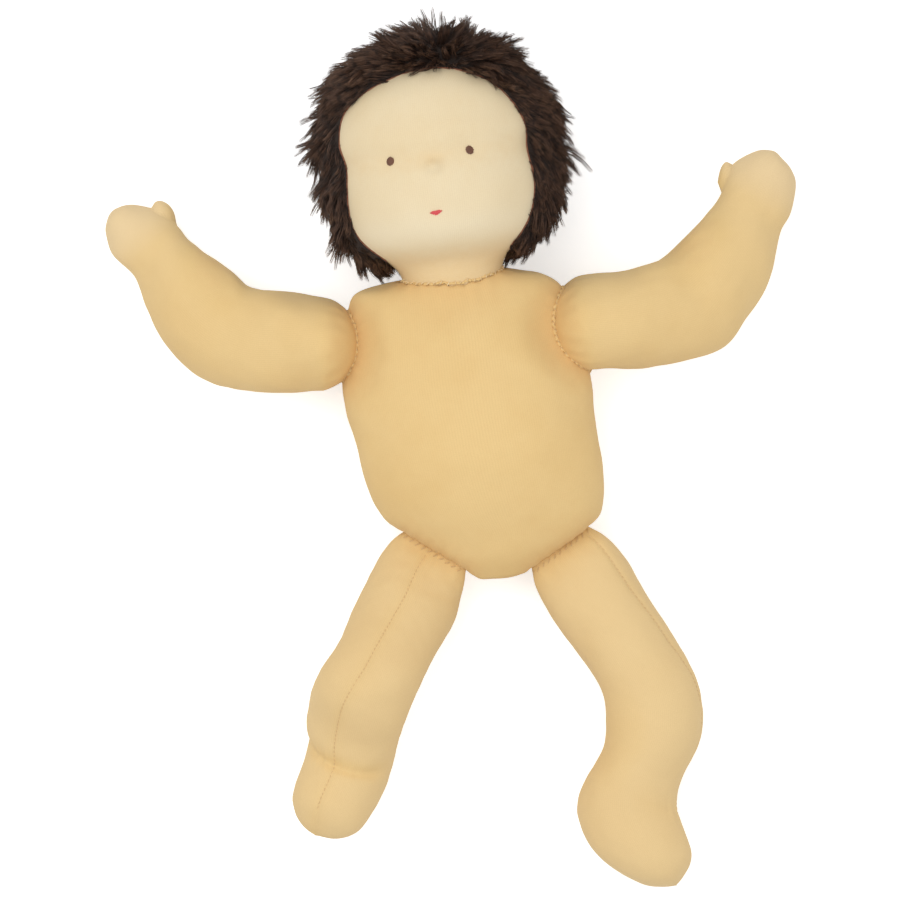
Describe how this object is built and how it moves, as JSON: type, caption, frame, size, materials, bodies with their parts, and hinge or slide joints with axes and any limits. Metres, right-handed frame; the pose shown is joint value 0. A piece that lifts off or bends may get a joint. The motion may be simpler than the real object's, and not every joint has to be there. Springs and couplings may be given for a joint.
{
  "type": "waldorf doll",
  "caption": "Undressed soft doll of stuffed tricot with a short dark pile wig, embroidered face, sewn arms and legs that move at the seams, and a head that turns and nods.",
  "frame": {"origin": "centre of the doll's box at the level that its back rests on", "axes": "+Z out of the doll's front as it lies on its back, +Y towards its head, +X towards its left arm"},
  "size_m": [0.3106, 0.4032, 0.0987],
  "materials": {
    "skin_tricot": "brushed cotton tricot",
    "face_tricot": "smooth cotton tricot",
    "gauze": "cotton gauze",
    "carded_wool": "carded sheep's wool",
    "strong_thread": "waxed thread",
    "eye_thread": "stranded cotton",
    "mouth_thread": "stranded cotton",
    "wig_backing": "knitted backing",
    "hair_pile": "brushed wool pile",
    "seam_thread": "sewing thread"
  },
  "bodies": {
    "torso": {"torso_skin": "skin_tricot", "torso_filling": "carded_wool", "neck_stitches": "seam_thread", "left_shoulder_stitches": "seam_thread", "left_hip_stitches": "seam_thread", "right_shoulder_stitches": "seam_thread", "right_hip_stitches": "seam_thread"},
    "neck": {"neck_roll": "carded_wool"},
    "head": {"head_skin": "face_tricot", "head_gauze": "gauze", "head_core": "carded_wool", "eye_line_tie": "strong_thread", "neck_tie": "strong_thread", "nose_bead": "carded_wool", "left_eye": "eye_thread", "right_eye": "eye_thread", "mouth": "mouth_thread", "wig_backing": "wig_backing", "hair_pile": "hair_pile"},
    "left_arm": {"left_arm_skin": "skin_tricot", "left_arm_filling": "carded_wool"},
    "left_leg": {"left_leg_skin": "skin_tricot", "left_leg_filling": "carded_wool", "left_leg_front_seam": "seam_thread", "left_ankle_stitches": "seam_thread"},
    "right_arm": {"right_arm_skin": "skin_tricot", "right_arm_filling": "carded_wool"},
    "right_leg": {"right_leg_skin": "skin_tricot", "right_leg_filling": "carded_wool", "right_leg_front_seam": "seam_thread", "right_ankle_stitches": "seam_thread"}
  },
  "joints": [
    {"name": "head_turn", "type": "hinge", "parent": "torso", "child": "neck", "pos_m": [-0.00269, 0.08519, 0.044], "axis": [0, 1, 0], "range_deg": [-30, 30]},
    {"name": "head_nod", "type": "hinge", "parent": "neck", "child": "head", "pos_m": [-0.00269, 0.08519, 0.044], "axis": [1, 0, 0], "range_deg": [-8, 8]},
    {"name": "left_shoulder", "type": "hinge", "parent": "torso", "child": "left_arm", "pos_m": [0.05936, 0.05421, 0.034], "axis": [0, 0, 1], "range_deg": [-30, 30]},
    {"name": "right_shoulder", "type": "hinge", "parent": "torso", "child": "right_arm", "pos_m": [-0.06917, 0.06028, 0.034], "axis": [0, 0, -1], "range_deg": [-30, 30]},
    {"name": "left_hip", "type": "hinge", "parent": "torso", "child": "left_leg", "pos_m": [0.03128, -0.04598, 0.028], "axis": [-0.8625, -0.506, 0], "range_deg": [-10, 30]},
    {"name": "right_hip", "type": "hinge", "parent": "torso", "child": "right_leg", "pos_m": [-0.02666, -0.04032, 0.028], "axis": [-0.7804, 0.6252, 0], "range_deg": [-10, 30]}
  ]
}
